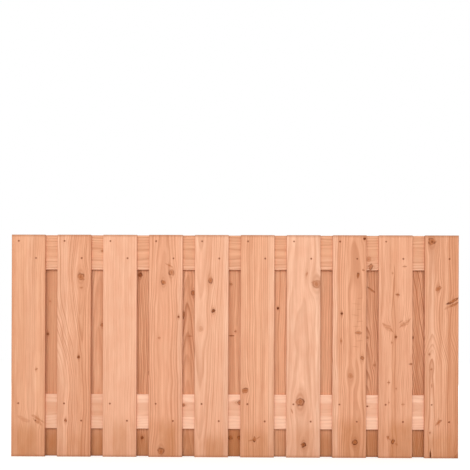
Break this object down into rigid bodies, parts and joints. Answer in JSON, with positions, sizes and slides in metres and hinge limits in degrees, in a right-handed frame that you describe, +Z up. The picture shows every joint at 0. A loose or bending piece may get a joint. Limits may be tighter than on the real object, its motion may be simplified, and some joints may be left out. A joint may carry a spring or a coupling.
{
  "type": "wooden fence panel",
  "caption": "Low garden fence panel of planed softwood boards nailed upright on both sides of flat rails, each back board covering a gap in front.",
  "frame": {"origin": "on the ground under the middle of the panel, halfway through its thickness", "axes": "+X along the panel, +Y from the front boards to the back boards, +Z up"},
  "size_m": [1.8, 0.045, 0.895],
  "materials": {
    "board_wood": "planed, unsealed",
    "rail_wood": "planed, unsealed",
    "nail_steel": "dull, stained"
  },
  "bodies": {
    "root": {"front_board_1": "board_wood", "front_board_2": "board_wood", "front_board_3": "board_wood", "front_board_4": "board_wood", "front_board_5": "board_wood", "front_board_6": "board_wood", "front_board_7": "board_wood", "front_board_8": "board_wood", "front_board_9": "board_wood", "front_board_10": "board_wood", "back_board_1": "board_wood", "back_board_2": "board_wood", "back_board_3": "board_wood", "back_board_4": "board_wood", "back_board_5": "board_wood", "back_board_6": "board_wood", "back_board_7": "board_wood", "back_board_8": "board_wood", "back_board_9": "board_wood", "upper_rail": "rail_wood", "lower_rail": "rail_wood", "upper_front_nails": "nail_steel", "lower_front_nails": "nail_steel", "upper_back_nails": "nail_steel", "lower_back_nails": "nail_steel"}
  },
  "joints": []
}
